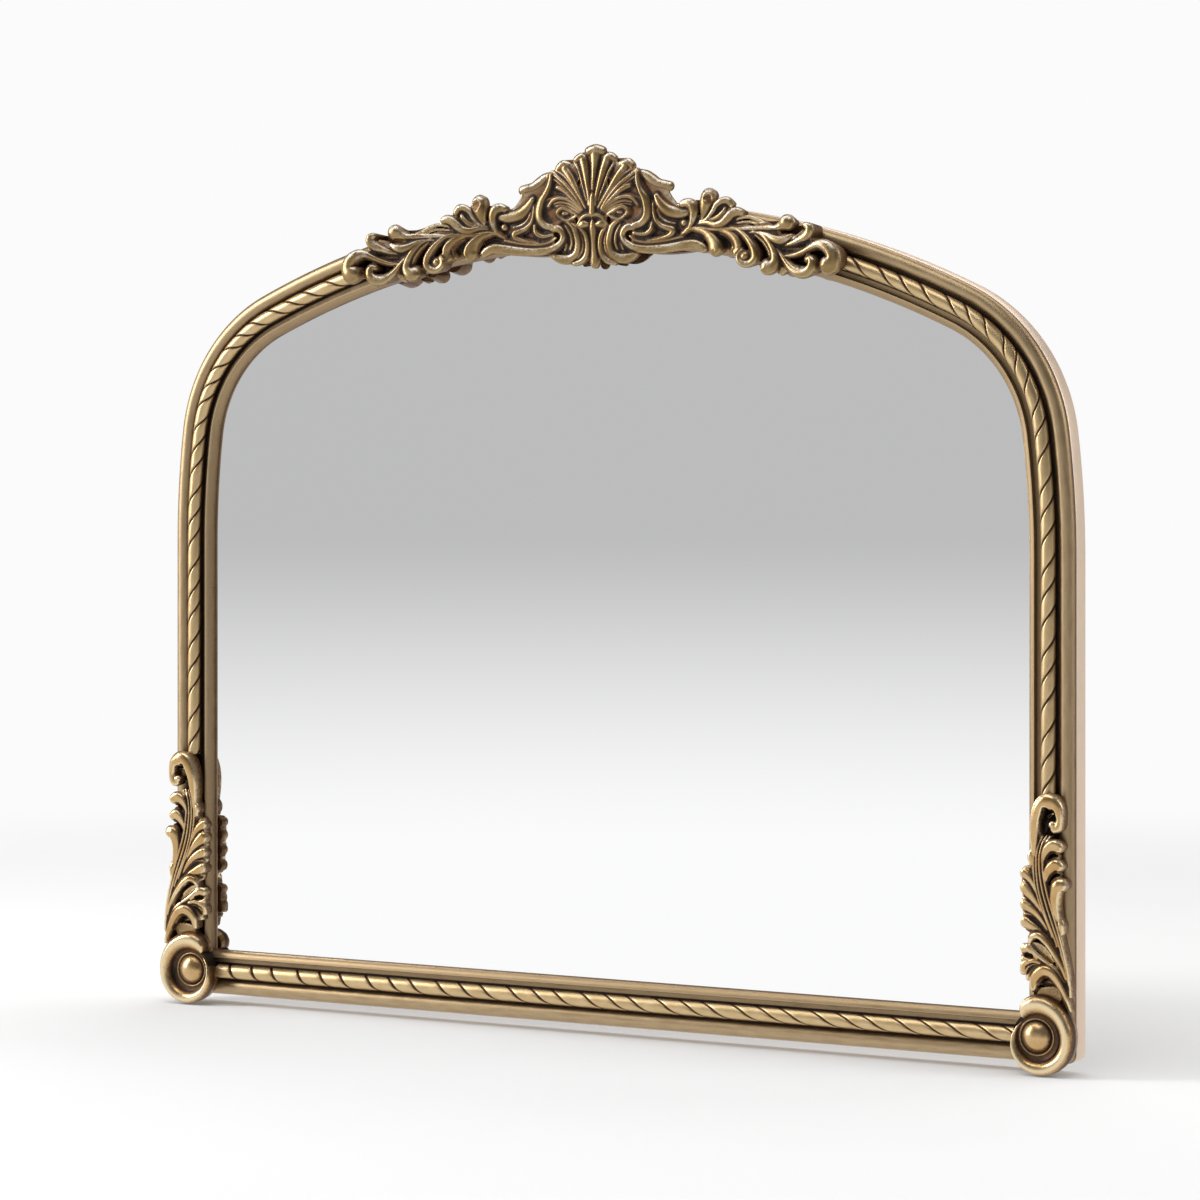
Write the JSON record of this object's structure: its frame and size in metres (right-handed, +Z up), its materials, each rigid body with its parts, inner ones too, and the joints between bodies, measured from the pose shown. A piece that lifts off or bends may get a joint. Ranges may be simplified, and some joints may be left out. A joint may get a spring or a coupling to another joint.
{
  "type": "arched mirror",
  "caption": "Wide arched wall mirror in a gilt rope-bead frame with a shell crest, leaf sprays and scroll feet; hangs on free-swinging rings at the back.",
  "frame": {"origin": "on the wall plane, on the centre line, level with the bars of the two hanging rings", "axes": "+X to the right seen from the front, -Y out of the wall towards the viewer, +Z up"},
  "size_m": [1.0324, 0.0708, 0.8823],
  "materials": {
    "gilt_moulding": "brushed antique bronze gold over timber, dark wash in the grooves",
    "gilt_carving": "antique gold on the ridges, dark brown wash in the hollows",
    "gilt_rosette": "antique gold dome in a dark dish",
    "timber": "flat tan bronze paint",
    "silvered_glass": "polished silvered glass",
    "board": "brown hardboard",
    "zinc": "zinc plated steel",
    "bumper": "black felted rubber"
  },
  "bodies": {
    "frame": {"bottom_moulding": "gilt_moulding", "left_moulding": "gilt_moulding", "right_moulding": "gilt_moulding", "left_shoulder": "gilt_moulding", "right_shoulder": "gilt_moulding", "crown_moulding": "gilt_moulding", "rope_bottom": "gilt_moulding", "rope_left": "gilt_moulding", "rope_right": "gilt_moulding", "rope_left_shoulder": "gilt_moulding", "rope_right_shoulder": "gilt_moulding", "rope_left_crown": "gilt_moulding", "rope_right_crown": "gilt_moulding", "back_bottom": "timber", "back_left": "timber", "back_right": "timber", "back_left_shoulder": "timber", "back_right_shoulder": "timber", "back_crown": "timber", "crest_shell": "gilt_carving", "crest_scroll_left": "gilt_carving", "crest_scroll_right": "gilt_carving", "crest_spray_left": "gilt_carving", "crest_spray_right": "gilt_carving", "corner_leaf_left": "gilt_carving", "corner_leaf_right": "gilt_carving", "corner_volute_left": "gilt_carving", "corner_volute_right": "gilt_carving", "rosette_left": "gilt_rosette", "rosette_right": "gilt_rosette", "mirror_glass": "silvered_glass", "backing_board": "board", "board_clips": "zinc", "clip_screws": "zinc", "joint_plates": "zinc", "plate_screws": "zinc", "strap_left": "zinc", "strap_right": "zinc", "strap_screws": "zinc", "wall_bumpers": "bumper"},
    "ring_left": {"hang_ring_left": "zinc"},
    "ring_right": {"hang_ring_right": "zinc"}
  },
  "joints": [
    {"name": "ring_left_swing", "type": "hinge", "parent": "frame", "child": "ring_left", "pos_m": [-0.492, -0.0037, 0], "axis": [1, 0, 0], "range_deg": [0, 178]},
    {"name": "ring_right_swing", "type": "hinge", "parent": "frame", "child": "ring_right", "pos_m": [0.492, -0.0037, 0], "axis": [1, 0, 0], "range_deg": [0, 178]}
  ]
}
